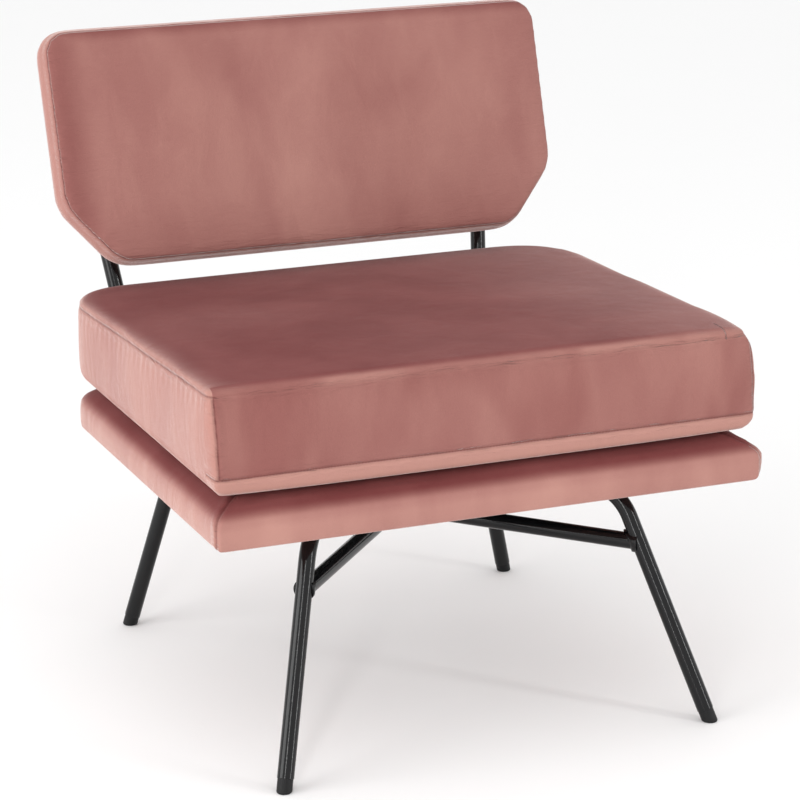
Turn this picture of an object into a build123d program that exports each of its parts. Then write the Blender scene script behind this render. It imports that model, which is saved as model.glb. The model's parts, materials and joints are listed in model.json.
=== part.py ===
from build123d import *
import os
from math import cos, hypot, radians, sin

os.makedirs("parts", exist_ok=True)

# An upholstered armless easy chair. X is the sitter's left to right as seen from the front, -Y is
# the front, +Z is up, and the origin is on the floor at the middle of the whole chair.

# Steel tube frame
TUBE_RADIUS = 9.5
TUBE_WALL = 1.5
BRACE_RADIUS = 9.5
BRACE_WALL = 1.5
FRONT_FOOT = (262.0, -346.0)
FRONT_LEAN = (-0.2775, 0.395)
BACK_FOOT = (256.0, 212.0)
BACK_LEAN = (-0.255, -0.145)
BRACE_HEIGHT = 200.0
ARM_HEIGHT = 263.0
ARM_LENGTH = 170.0
LEG_BEND = 60.0
WELD_SIZE = 3.0

# Glides and plugs
GLIDE_RADIUS = 8.8
GLIDE_SHOW = 9.0
GLIDE_STEM = 16.0
GLIDE_EDGE = 2.0
PLUG_GAP = 0.1
PLUG_LIP = 2.0
PLUG_STEM = 12.0

# Back posts: the axis passes POST_MID and runs parallel to the backrest
POST_MID = (246.5, 282.0, 445.0)
POST_SPLAY = 0.121
POST_TOP = 640.0
POST_BEND = 28.0
POST_ARM = 165.0

# Backrest, in its own plane: u across, v up the slope, w forwards from the front seam
RECLINE = 18.8
BACK_FOOT_Y = 199.0
BACK_FOOT_Z = 470.0
BACK_CORNERS = [(258.0, 0.0), (318.5, 72.0), (320.0, 280.0)]
BACK_CORNER_RADII = (38.0, 40.0, 28.0)
BACK_CROWN = 7.0
BACK_BOXING = 43.0
BACK_DEPTH = 52.0
BACK_EDGE = 5.0
BOARD_FRONT = 29.0
BOARD_THICKNESS = 12.0
BOARD_INSET = 9.0
BACK_BOLT_HEIGHTS = (60.0, 165.0)
SPACER_RADIUS = 9.0

# Seat cushion
CUSHION_HALF = 325.0
CUSHION_FRONT = -316.0
CUSHION_FRONT_TOP = -298.0
CUSHION_BACK = 233.0
CUSHION_BOTTOM = 333.0
CUSHION_TOP_FRONT = 451.0
CUSHION_TOP_BACK = 430.0
CUSHION_REAR_RADIUS = 75.0
CUSHION_FRONT_RADIUS = 9.0
CUSHION_BOTTOM_ROUND = 22.0
CUSHION_TOP_ROUND = 7.0
TOP_SEAM_DROP = 11.0
LOWER_SEAM = 354.0
CORNER_WRAP = 6.0
CLOTH = 1.5
CLOTH_GAP = 0.3

# Zip across the back of the cushion cover
ZIP_HALF = 215.0
ZIP_HEIGHT = 386.0
TAPE_HALF = 11.0
COIL_HALF = 2.3
COIL_HIGH = 1.4
SLIDER_X = -195.0
SLIDER_LONG = 13.0
SLIDER_WIDE = 9.0
SLIDER_HIGH = 3.0
BRIDGE_LONG = 9.0
BRIDGE_WIDE = 1.6
BRIDGE_HIGH = 3.2
BRIDGE_BAR = 1.2
PULL_THICK = 1.2
PULL_LONG = 24.0
PULL_WIDE = 7.0
PULL_EYE = 7.0
PULL_CORNER = 2.0
PULL_HOLE = 1.4
ZIP_GAP = 0.3

# Seat platform
DECK_HALF = 332.0
DECK_FRONT = -327.0
DECK_BACK = 205.0
DECK_REAR_RADIUS = 55.0
DECK_FRONT_RADIUS = 12.0
DECK_TOP_INSET = 58.0
DECK_TOP_REAR_RADIUS = 12.0
DECK_TOP_FRONT_RADIUS = 4.0
DECK_CLOTH = 1.2
DUST_CLOTH = 0.8
DUST_INSET = 14.0
DECK_LIP = 42.0
DECK_EDGE_TOP = 309.0
DECK_EDGE_ROUND = 5.0
DECK_TOP = 332.6
PLY_THICKNESS = 18.0
PLY_INSET = 12.0

# Mounting plates and M6 hardware
PLATE_THICKNESS = 3.5
PLATE_SINK = 1.0
LEG_PLATE = (118.0, 52.0)
POST_PLATE = (96.0, 48.0)
PLATE_CORNER = 6.0
PLATE_START = 22.0
POST_PLATE_START = 58.0
HOLE_ALONG = 38.0
POST_HOLE_ALONG = 30.0
HOLE_ACROSS = 18.0
BOLT_RADIUS = 2.95
BOLT_HOLE = 3.3
HEAD_RADIUS = 5.25
HEAD_HIGH = 3.3
HEAD_ROUND = 1.6
SOCKET_FLATS = 4.0
SOCKET_DEEP = 2.0
WASHER_RADIUS = 6.2
WASHER_THICK = 1.2
NUT_FLANGE = 8.5
NUT_FLANGE_THICK = 1.2
NUT_BARREL = 3.9
NUT_LONG = 9.0
NUT_POCKET = 9.5
BOLT_PAST_NUT = 1.5
STAPLE_WIDE = 11.0
STAPLE_WIRE = 0.8
STAPLE_LEG = 9.0
STAPLE_PITCH = 62.0

# Heights that follow from the stack under the seat
PLATE_BOTTOM = ARM_HEIGHT + TUBE_RADIUS - PLATE_SINK
DUST_BOTTOM = PLATE_BOTTOM + PLATE_THICKNESS
LIP_BOTTOM = DUST_BOTTOM + DUST_CLOTH
PLY_BOTTOM = LIP_BOTTOM + DECK_CLOTH
PLY_TOP = PLY_BOTTOM + PLY_THICKNESS

CHAIR_CUT = 400.0
UP = (0, 0, 1)


def mirrored(point, side):
    return (side * point[0], point[1], point[2])


def leg_axis(foot, lean, height):
    return (foot[0] + lean[0] * height, foot[1] + lean[1] * height, height)


def toward(start, end, length):
    reach = hypot(end[0] - start[0], end[1] - start[1])
    step = length / reach
    return (start[0] + (end[0] - start[0]) * step, start[1] + (end[1] - start[1]) * step, start[2])


def solid_rod(start, end, radius, mode=Mode.ADD):
    """A solid cylinder between two points, used as a cutter or a bar."""
    way = Vector(*end) - Vector(*start)
    with BuildSketch(Plane(origin=start, z_dir=way)) as section:
        Circle(radius)
    extrude(section.sketch, amount=way.length, mode=mode)


def ring_rod(start, end, radius, wall):
    """A straight tube between two points."""
    way = Vector(*end) - Vector(*start)
    with BuildSketch(Plane(origin=start, z_dir=way)) as section:
        Circle(radius)
        Circle(radius - wall, mode=Mode.SUBTRACT)
    extrude(section.sketch, amount=way.length)


def bent_tube(route, bend):
    """A round tube along straight runs joined by one bend."""
    with BuildPart() as tube:
        with BuildLine() as path:
            FilletPolyline(*route, radius=bend)
        with BuildSketch(Plane(origin=path.line @ 0, z_dir=path.line % 0)):
            Circle(TUBE_RADIUS)
            Circle(TUBE_RADIUS - TUBE_WALL, mode=Mode.SUBTRACT)
        sweep(path=path.wires()[0])
    return tube


def plug(end, inward):
    """A plastic plug that closes a tube's end: a lip outside and a stem inside."""
    way = Vector(*inward).normalized()
    lip = Vector(*end) - way * PLUG_LIP
    with BuildPart() as part:
        with BuildSketch(Plane(origin=lip, z_dir=way)):
            Circle(TUBE_RADIUS)
        extrude(amount=PLUG_LIP)
        fillet(part.faces().sort_by(Axis(lip, way))[0].edges(), radius=PLUG_LIP / 2)
        with BuildSketch(Plane(origin=end, z_dir=way)):
            Circle(TUBE_RADIUS - TUBE_WALL - PLUG_GAP)
        extrude(amount=PLUG_STEM)
    return part


# Legs: four bent tubes, each leaning in to a short arm under the seat
FRONT_TOP = leg_axis(FRONT_FOOT, FRONT_LEAN, ARM_HEIGHT)
BACK_TOP = leg_axis(BACK_FOOT, BACK_LEAN, ARM_HEIGHT)
ARM_CROSS = (0.0, (FRONT_TOP[1] + BACK_TOP[1]) / 2, ARM_HEIGHT)


def leg_points(foot, lean):
    """The point where the tube is cut above its glide, the corner and the arm's end."""
    slant = hypot(lean[0], lean[1])
    cut_height = GLIDE_SHOW + TUBE_RADIUS * slant
    corner = leg_axis(foot, lean, ARM_HEIGHT)
    return leg_axis(foot, lean, cut_height), corner, toward(corner, ARM_CROSS, ARM_LENGTH)


def make_leg(foot, lean, side):
    return bent_tube([mirrored(point, side) for point in leg_points(foot, lean)], LEG_BEND)


def make_glide(foot, lean, side):
    """A plastic glide in the tube's end, cut level where it stands on the floor."""
    cut, corner, arm_end = leg_points(foot, lean)
    cut = Vector(*mirrored(cut, side))
    way = (Vector(*mirrored(corner, side)) - cut).normalized()
    with BuildPart() as glide:
        with BuildSketch(Plane(origin=cut, z_dir=way)):
            Circle(GLIDE_RADIUS)
        extrude(amount=-3 * GLIDE_SHOW)
        split(bisect_by=Plane.XY, keep=Keep.TOP)
        fillet(glide.faces().sort_by(Axis.Z)[0].edges(), radius=GLIDE_EDGE)
        with BuildSketch(Plane(origin=cut, z_dir=way)):
            Circle(TUBE_RADIUS - TUBE_WALL - PLUG_GAP)
        extrude(amount=GLIDE_STEM)
    return glide


def make_arm_plug(foot, lean, side):
    cut, corner, arm_end = leg_points(foot, lean)
    arm_end = mirrored(arm_end, side)
    corner = mirrored(corner, side)
    return plug(arm_end, Vector(*corner) - Vector(*arm_end))


leg_front_left = make_leg(FRONT_FOOT, FRONT_LEAN, -1)
leg_front_right = make_leg(FRONT_FOOT, FRONT_LEAN, 1)
leg_back_left = make_leg(BACK_FOOT, BACK_LEAN, -1)
leg_back_right = make_leg(BACK_FOOT, BACK_LEAN, 1)
glide_front_left = make_glide(FRONT_FOOT, FRONT_LEAN, -1)
glide_front_right = make_glide(FRONT_FOOT, FRONT_LEAN, 1)
glide_back_left = make_glide(BACK_FOOT, BACK_LEAN, -1)
glide_back_right = make_glide(BACK_FOOT, BACK_LEAN, 1)

# Crossed brace: one whole tube and two halves coped to it
WELD_REACH = 5 * BRACE_RADIUS
LINE_LOW = BRACE_HEIGHT - 60.0
LINE_HIGH = BRACE_HEIGHT + 60.0
FRONT_JOINT = leg_axis(FRONT_FOOT, FRONT_LEAN, BRACE_HEIGHT)
BACK_JOINT = leg_axis(BACK_FOOT, BACK_LEAN, BRACE_HEIGHT)
CROSS_SHARE = FRONT_JOINT[0] / (FRONT_JOINT[0] + BACK_JOINT[0])
CROSS_Y = FRONT_JOINT[1] + (BACK_JOINT[1] - FRONT_JOINT[1]) * CROSS_SHARE
BRACE_CROSS = (0.0, CROSS_Y, BRACE_HEIGHT)
FRONT_LEG_LINE = (leg_axis(FRONT_FOOT, FRONT_LEAN, LINE_LOW), leg_axis(FRONT_FOOT, FRONT_LEAN, LINE_HIGH))
BACK_LEG_LINE = (leg_axis(BACK_FOOT, BACK_LEAN, LINE_LOW), leg_axis(BACK_FOOT, BACK_LEAN, LINE_HIGH))


def leg_line(line, side):
    return mirrored(line[0], side), mirrored(line[1], side)


with BuildPart() as brace_long:
    ring_rod(mirrored(FRONT_JOINT, -1), BACK_JOINT, BRACE_RADIUS, BRACE_WALL)
    solid_rod(*leg_line(FRONT_LEG_LINE, -1), TUBE_RADIUS, mode=Mode.SUBTRACT)
    solid_rod(*leg_line(BACK_LEG_LINE, 1), TUBE_RADIUS, mode=Mode.SUBTRACT)

with BuildPart() as brace_front_half:
    ring_rod(FRONT_JOINT, BRACE_CROSS, BRACE_RADIUS, BRACE_WALL)
    solid_rod(*leg_line(FRONT_LEG_LINE, 1), TUBE_RADIUS, mode=Mode.SUBTRACT)
    solid_rod(mirrored(FRONT_JOINT, -1), BACK_JOINT, BRACE_RADIUS, mode=Mode.SUBTRACT)

with BuildPart() as brace_back_half:
    ring_rod(mirrored(BACK_JOINT, -1), BRACE_CROSS, BRACE_RADIUS, BRACE_WALL)
    solid_rod(*leg_line(BACK_LEG_LINE, -1), TUBE_RADIUS, mode=Mode.SUBTRACT)
    solid_rod(mirrored(FRONT_JOINT, -1), BACK_JOINT, BRACE_RADIUS, mode=Mode.SUBTRACT)


def weld(joint, far_end, line, line_radius):
    """A fillet weld's bead round the end of a brace where it meets another tube."""
    near = toward(joint, far_end, WELD_REACH)
    with BuildPart() as bead:
        solid_rod(joint, near, BRACE_RADIUS + WELD_SIZE)
        solid_rod(*line, line_radius + WELD_SIZE, mode=Mode.INTERSECT)
        solid_rod(*line, line_radius, mode=Mode.SUBTRACT)
        solid_rod(joint, near, BRACE_RADIUS, mode=Mode.SUBTRACT)
    return bead.part


LONG_LINE = (mirrored(FRONT_JOINT, -1), BACK_JOINT)
with BuildPart() as brace_welds:
    add(weld(FRONT_JOINT, BRACE_CROSS, leg_line(FRONT_LEG_LINE, 1), TUBE_RADIUS))
    add(weld(mirrored(FRONT_JOINT, -1), BRACE_CROSS, leg_line(FRONT_LEG_LINE, -1), TUBE_RADIUS))
    add(weld(BACK_JOINT, BRACE_CROSS, leg_line(BACK_LEG_LINE, 1), TUBE_RADIUS))
    add(weld(mirrored(BACK_JOINT, -1), BRACE_CROSS, leg_line(BACK_LEG_LINE, -1), TUBE_RADIUS))
    add(weld(BRACE_CROSS, FRONT_JOINT, LONG_LINE, BRACE_RADIUS))
    add(weld(BRACE_CROSS, mirrored(BACK_JOINT, -1), LONG_LINE, BRACE_RADIUS))

# Backrest plane and the posts behind it
LEAN = radians(RECLINE)
BACK_FORWARD = (0, -cos(LEAN), sin(LEAN))
BACK_PLANE = Plane(origin=(0, BACK_FOOT_Y, BACK_FOOT_Z), x_dir=(1, 0, 0), z_dir=BACK_FORWARD)
POST_SLOPE = sin(LEAN) / cos(LEAN)


def post_at(height):
    rise = height - POST_MID[2]
    return (POST_MID[0] + POST_SPLAY * rise, POST_MID[1] + POST_SLOPE * rise, height)


POST_CORNER = post_at(ARM_HEIGHT)
POST_END = (POST_CORNER[0], POST_CORNER[1] - POST_ARM, ARM_HEIGHT)
POST_TIP = post_at(POST_TOP)
POST_DEPTH = -BACK_PLANE.to_local_coords(Vector(*POST_MID)).Z


def post_across(height):
    """How far out the post is at a height up the backrest."""
    base = BACK_PLANE.to_local_coords(Vector(*post_at(POST_MID[2])))
    tip = BACK_PLANE.to_local_coords(Vector(*POST_TIP))
    share = (height - base.Y) / (tip.Y - base.Y)
    return base.X + (tip.X - base.X) * share


BACK_POINTS = [(side * post_across(height), height) for side in (-1, 1) for height in BACK_BOLT_HEIGHTS]


def drill_back(front, back, radius):
    """Holes square to the backrest, one at each bolt, between two depths behind the front seam."""
    with BuildSketch(BACK_PLANE.offset(-back)) as holes:
        with Locations(*BACK_POINTS):
            Circle(radius)
    extrude(holes.sketch, amount=back - front, mode=Mode.SUBTRACT)


def make_post(side):
    route = [mirrored(point, side) for point in (POST_END, POST_CORNER, POST_TIP)]
    tube = bent_tube(route, POST_BEND)
    with BuildPart() as post:
        add(tube.part)
        drill_back(POST_DEPTH - 2 * TUBE_RADIUS, POST_DEPTH + 2 * TUBE_RADIUS, BOLT_HOLE)
    return post


post_left = make_post(-1)
post_right = make_post(1)
POST_WAY = Vector(*POST_CORNER) - Vector(*POST_TIP)
post_cap_left = plug(mirrored(POST_TIP, -1), (-POST_WAY.X, POST_WAY.Y, POST_WAY.Z))
post_cap_right = plug(POST_TIP, POST_WAY)

with BuildPart() as arm_plugs:
    for side in (-1, 1):
        add(make_arm_plug(FRONT_FOOT, FRONT_LEAN, side).part)
        add(make_arm_plug(BACK_FOOT, BACK_LEAN, side).part)
        add(plug(mirrored(POST_END, side), (0, 1, 0)).part)


# Mounting plates, grooved where they sit on their tubes
def plate_frame(start, end, offset):
    """A plate's centre and its direction along the tube arm."""
    return toward(start, end, offset), Vector(*end) - Vector(*start)


def plate_points(centre, along, reach):
    """The two bolt holes of a plate, one each side of the tube."""
    run = along.normalized()
    cross = Vector(-run.Y, run.X, 0)
    middle = Vector(*centre)
    first = middle + run * reach + cross * HOLE_ACROSS
    second = middle - run * reach - cross * HOLE_ACROSS
    return [(first.X, first.Y), (second.X, second.Y)]


def make_plate(start, end, size, reach, offset):
    centre, along = plate_frame(start, end, offset + size[0] / 2)
    base = (centre[0], centre[1], PLATE_BOTTOM)
    with BuildPart() as plate:
        with BuildSketch(Plane(origin=base, x_dir=along, z_dir=UP)):
            RectangleRounded(*size, PLATE_CORNER)
        extrude(amount=PLATE_THICKNESS)
        with BuildSketch(Plane.XY.offset(PLATE_BOTTOM)):
            with Locations(*plate_points(centre, along, reach)):
                Circle(BOLT_HOLE)
        extrude(amount=PLATE_THICKNESS, mode=Mode.SUBTRACT)
        solid_rod(start, end, TUBE_RADIUS, mode=Mode.SUBTRACT)
    return plate


def arm_line(foot, lean, side):
    cut, corner, arm_end = leg_points(foot, lean)
    return mirrored(corner, side), mirrored(arm_end, side)


def post_line(side):
    return mirrored(POST_CORNER, side), mirrored(POST_END, side)


plate_front_left = make_plate(*arm_line(FRONT_FOOT, FRONT_LEAN, -1), LEG_PLATE, HOLE_ALONG, PLATE_START)
plate_front_right = make_plate(*arm_line(FRONT_FOOT, FRONT_LEAN, 1), LEG_PLATE, HOLE_ALONG, PLATE_START)
plate_back_left = make_plate(*arm_line(BACK_FOOT, BACK_LEAN, -1), LEG_PLATE, HOLE_ALONG, PLATE_START)
plate_back_right = make_plate(*arm_line(BACK_FOOT, BACK_LEAN, 1), LEG_PLATE, HOLE_ALONG, PLATE_START)
plate_post_left = make_plate(*post_line(-1), POST_PLATE, POST_HOLE_ALONG, POST_PLATE_START)
plate_post_right = make_plate(*post_line(1), POST_PLATE, POST_HOLE_ALONG, POST_PLATE_START)

DECK_POINTS = []
for side in (-1, 1):
    for foot, lean in ((FRONT_FOOT, FRONT_LEAN), (BACK_FOOT, BACK_LEAN)):
        start, end = arm_line(foot, lean, side)
        centre, along = plate_frame(start, end, PLATE_START + LEG_PLATE[0] / 2)
        DECK_POINTS += plate_points(centre, along, HOLE_ALONG)
    start, end = post_line(side)
    centre, along = plate_frame(start, end, POST_PLATE_START + POST_PLATE[0] / 2)
    DECK_POINTS += plate_points(centre, along, POST_HOLE_ALONG)


def drill_deck(bottom, top, radius):
    with BuildSketch(Plane.XY.offset(bottom)) as holes:
        with Locations(*DECK_POINTS):
            Circle(radius)
    extrude(holes.sketch, amount=top - bottom, mode=Mode.SUBTRACT)


def bolts(plane, points, head_top, tip):
    """Button-head screws along a plane's normal, between the underside of the head and the tip."""
    with BuildPart() as group:
        with BuildSketch(plane.offset(head_top - HEAD_HIGH)):
            with Locations(*points):
                Circle(HEAD_RADIUS)
        extrude(amount=HEAD_HIGH)
        heads = group.faces().sort_by(Axis(plane.origin, plane.z_dir))[: len(points)]
        fillet(heads.edges(), radius=HEAD_ROUND)
        with BuildSketch(plane.offset(head_top - HEAD_HIGH)):
            with Locations(*points):
                RegularPolygon(SOCKET_FLATS / 2, 6, major_radius=False)
        extrude(amount=SOCKET_DEEP, mode=Mode.SUBTRACT)
        with BuildSketch(plane.offset(head_top)):
            with Locations(*points):
                Circle(BOLT_RADIUS)
        extrude(amount=tip - head_top)
    return group


def tee_nuts(plane, points, seat):
    """Tee nuts with their flange on the far side of a board and the barrel in it."""
    with BuildPart() as group:
        with BuildSketch(plane.offset(seat)):
            with Locations(*points):
                Circle(NUT_FLANGE)
        extrude(amount=NUT_FLANGE_THICK)
        with BuildSketch(plane.offset(seat - NUT_LONG)):
            with Locations(*points):
                Circle(NUT_BARREL)
        extrude(amount=NUT_LONG)
        with BuildSketch(plane.offset(seat - NUT_LONG)):
            with Locations(*points):
                Circle(BOLT_RADIUS + PLUG_GAP)
        extrude(amount=NUT_LONG + NUT_FLANGE_THICK, mode=Mode.SUBTRACT)
    return group


DECK_BOLT_TIP = PLY_TOP + NUT_FLANGE_THICK + BOLT_PAST_NUT
deck_bolts = bolts(Plane.XY, DECK_POINTS, PLATE_BOTTOM - WASHER_THICK, DECK_BOLT_TIP)
deck_tee_nuts = tee_nuts(Plane.XY, DECK_POINTS, PLY_TOP)
with BuildPart() as deck_washers:
    with BuildSketch(Plane.XY.offset(PLATE_BOTTOM - WASHER_THICK)):
        with Locations(*DECK_POINTS):
            Circle(WASHER_RADIUS)
            Circle(BOLT_HOLE, mode=Mode.SUBTRACT)
    extrude(amount=WASHER_THICK)


# Seat platform: board, foam, stapled cloth and dust cloth
def plan(half, front, back, front_radius, rear_radius, inset):
    """The seat's outline from above: tight front corners and round rear ones."""
    with BuildLine() as outline:
        FilletPolyline(
            (-half + inset, front + inset),
            (half - inset, front + inset),
            (half - inset, back - inset),
            (-half + inset, back - inset),
            radius=[front_radius, front_radius, rear_radius, rear_radius],
            close=True,
        )
    make_face(outline.edges())


def deck_plan(inset):
    front_radius = max(DECK_FRONT_RADIUS - inset, 2.0)
    rear_radius = max(DECK_REAR_RADIUS - inset, 2.0)
    plan(DECK_HALF, DECK_FRONT, DECK_BACK, front_radius, rear_radius, inset)


def deck_top_plan(inset):
    plan(
        DECK_HALF,
        DECK_FRONT,
        DECK_BACK,
        DECK_TOP_FRONT_RADIUS,
        DECK_TOP_REAR_RADIUS,
        DECK_TOP_INSET + inset,
    )


def deck_block(inset, bottom):
    """The padded platform's shape: an upright edge and a top that rises to a flat middle."""
    with BuildPart() as block:
        with BuildSketch(Plane.XY.offset(bottom)):
            deck_plan(inset)
        extrude(amount=DECK_EDGE_TOP - inset - bottom)
        fillet(block.faces().sort_by(Axis.Z)[0].edges(), radius=DECK_EDGE_ROUND - inset)
        with BuildSketch(Plane.XY.offset(DECK_EDGE_TOP - inset)):
            deck_plan(inset)
        with BuildSketch(Plane.XY.offset(DECK_TOP - inset)):
            deck_top_plan(inset)
        loft()
    return block.part


with BuildPart() as deck_cover:
    add(deck_block(0.0, LIP_BOTTOM))
    add(deck_block(DECK_CLOTH, PLY_BOTTOM), mode=Mode.SUBTRACT)
    with BuildSketch(Plane.XY.offset(LIP_BOTTOM)):
        deck_plan(DECK_LIP)
    extrude(amount=PLY_BOTTOM - LIP_BOTTOM, mode=Mode.SUBTRACT)

with BuildPart() as deck_board:
    with BuildSketch(Plane.XY.offset(PLY_BOTTOM)):
        deck_plan(PLY_INSET)
    extrude(amount=PLY_THICKNESS)
    drill_deck(PLY_BOTTOM, PLY_TOP, NUT_BARREL)

with BuildPart() as deck_foam:
    add(deck_block(DECK_CLOTH + CLOTH_GAP, PLY_BOTTOM))
    with BuildSketch(Plane.XY.offset(PLY_BOTTOM)):
        deck_plan(PLY_INSET)
    extrude(amount=PLY_THICKNESS, mode=Mode.SUBTRACT)
    drill_deck(PLY_TOP, PLY_TOP + NUT_FLANGE_THICK + 2 * BOLT_PAST_NUT, NUT_POCKET)

with BuildPart() as dust_cloth:
    with BuildSketch(Plane.XY.offset(DUST_BOTTOM)):
        deck_plan(DUST_INSET)
    extrude(amount=DUST_CLOTH)
    with BuildSketch(Plane.XY.offset(LIP_BOTTOM)):
        deck_plan(DECK_LIP + CLOTH_GAP)
    extrude(amount=DECK_CLOTH)
    drill_deck(DUST_BOTTOM, PLY_BOTTOM, BOLT_HOLE)

STAPLE_LINE = DUST_INSET + (DECK_LIP - DUST_INSET) / 2
STAPLE_X = DECK_HALF - STAPLE_LINE
STAPLE_FRONT = DECK_FRONT + STAPLE_LINE
STAPLE_BACK = DECK_BACK - STAPLE_LINE
STAPLE_MIDDLE = (STAPLE_FRONT + STAPLE_BACK) / 2
ROW_COUNT = int(2 * (STAPLE_X - DECK_REAR_RADIUS) / STAPLE_PITCH) + 1
SIDE_COUNT = int((STAPLE_BACK - STAPLE_FRONT - 2 * DECK_REAR_RADIUS) / STAPLE_PITCH) + 1
STAPLE_ROWS = [
    ((0, STAPLE_FRONT), ROW_COUNT, 1, 0),
    ((0, STAPLE_BACK), ROW_COUNT, 1, 0),
    ((-STAPLE_X, STAPLE_MIDDLE), 1, SIDE_COUNT, 90),
    ((STAPLE_X, STAPLE_MIDDLE), 1, SIDE_COUNT, 90),
]
with BuildPart() as staples:
    for centre, across, deep, turn in STAPLE_ROWS:
        plane = Plane.XY.offset(DUST_BOTTOM - STAPLE_WIRE).move(Location((centre[0], centre[1], 0)))
        with BuildSketch(plane):
            with GridLocations(STAPLE_PITCH, STAPLE_PITCH, across, deep):
                Rectangle(STAPLE_WIDE, STAPLE_WIRE, rotation=turn)
        extrude(amount=STAPLE_WIRE + STAPLE_LEG)
        with BuildSketch(plane.offset(STAPLE_WIRE)):
            with GridLocations(STAPLE_PITCH, STAPLE_PITCH, across, deep):
                Rectangle(STAPLE_WIDE - 2 * STAPLE_WIRE, 2 * STAPLE_WIRE, rotation=turn)
        extrude(amount=STAPLE_LEG, mode=Mode.SUBTRACT)

# Backrest
SIDE_CORNERS = [(-across, up) for across, up in reversed(BACK_CORNERS)]
BACK_ROUTE = BACK_CORNERS + SIDE_CORNERS
BACK_RADII = list(BACK_CORNER_RADII) + list(reversed(BACK_CORNER_RADII))


def back_slab(front, back, inset):
    """A slab of the backrest's outline between two depths behind the front seam."""
    with BuildSketch(BACK_PLANE.offset(-back)) as outline:
        with BuildLine():
            FilletPolyline(*BACK_ROUTE, radius=BACK_RADII, close=True)
        make_face()
        if inset > 0:
            offset(amount=-inset)
    extrude(outline.sketch, amount=back - front)


with BuildPart() as back_shape:
    back_slab(-BACK_CROWN, BACK_DEPTH, 0.0)
    fillet(back_shape.faces().filter_by(BACK_PLANE).edges(), radius=BACK_EDGE)

with BuildPart() as back_hollow:
    back_slab(-BACK_CROWN + CLOTH, BACK_DEPTH - CLOTH, CLOTH)
    fillet(back_hollow.faces().filter_by(BACK_PLANE).edges(), radius=BACK_EDGE - CLOTH)


def back_panel(front, back, drilled):
    """The part of the backrest's cloth between two depths."""
    with BuildPart() as panel:
        add(back_shape.part)
        add(back_hollow.part, mode=Mode.SUBTRACT)
        with BuildSketch(BACK_PLANE.offset(-back)):
            Rectangle(2 * CHAIR_CUT, 4 * CHAIR_CUT)
        extrude(amount=back - front, mode=Mode.INTERSECT)
        if drilled:
            drill_back(BOARD_FRONT, BACK_DEPTH, BOLT_HOLE)
    return panel


def back_filling(front, back):
    """The part of the padding inside the cloth between two depths."""
    with BuildPart() as filling:
        back_slab(-BACK_CROWN + CLOTH, BACK_DEPTH - CLOTH, CLOTH + CLOTH_GAP)
        fillet(filling.faces().filter_by(BACK_PLANE).edges(), radius=BACK_EDGE - CLOTH)
        with BuildSketch(BACK_PLANE.offset(-back)):
            Rectangle(2 * CHAIR_CUT, 4 * CHAIR_CUT)
        extrude(amount=back - front, mode=Mode.INTERSECT)
    return filling.part


back_front_panel = back_panel(-BACK_CROWN, 0.0, False)
back_boxing = back_panel(0.0, BACK_BOXING, False)
back_rear_panel = back_panel(BACK_BOXING, BACK_DEPTH, True)
BOARD_BACK = BOARD_FRONT + BOARD_THICKNESS

with BuildPart() as back_board:
    back_slab(BOARD_FRONT, BOARD_BACK, BOARD_INSET)
    drill_back(BOARD_FRONT, BOARD_BACK, NUT_BARREL)

with BuildPart() as back_foam:
    add(back_filling(-BACK_CROWN + CLOTH + CLOTH_GAP, BOARD_FRONT))
    drill_back(BOARD_FRONT - NUT_FLANGE_THICK - 2 * BOLT_PAST_NUT, BOARD_FRONT, NUT_POCKET)

with BuildPart() as back_wadding:
    add(back_filling(BOARD_BACK, BACK_DEPTH - CLOTH - CLOTH_GAP))
    drill_back(BOARD_BACK, BACK_DEPTH, BOLT_HOLE)

with BuildPart() as back_spacers:
    with BuildSketch(BACK_PLANE.offset(-POST_DEPTH)):
        with Locations(*BACK_POINTS):
            Circle(SPACER_RADIUS)
            Circle(BOLT_HOLE, mode=Mode.SUBTRACT)
    extrude(amount=POST_DEPTH - BACK_DEPTH)
    for side in (-1, 1):
        solid_rod(mirrored(POST_CORNER, side), mirrored(POST_TIP, side), TUBE_RADIUS, mode=Mode.SUBTRACT)

HEAD_SEAT = POST_DEPTH + TUBE_RADIUS + WASHER_THICK
with BuildPart() as back_washers:
    with BuildSketch(BACK_PLANE.offset(-HEAD_SEAT)):
        with Locations(*BACK_POINTS):
            Circle(WASHER_RADIUS)
            Circle(BOLT_HOLE, mode=Mode.SUBTRACT)
    extrude(amount=HEAD_SEAT - POST_DEPTH)
    for side in (-1, 1):
        solid_rod(mirrored(POST_CORNER, side), mirrored(POST_TIP, side), TUBE_RADIUS, mode=Mode.SUBTRACT)

BACK_BOLT_TIP = BOARD_FRONT - NUT_FLANGE_THICK - BOLT_PAST_NUT
back_bolts = bolts(BACK_PLANE, BACK_POINTS, -HEAD_SEAT, -BACK_BOLT_TIP)
back_tee_nuts = tee_nuts(BACK_PLANE, BACK_POINTS, -BOARD_FRONT)


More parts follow.
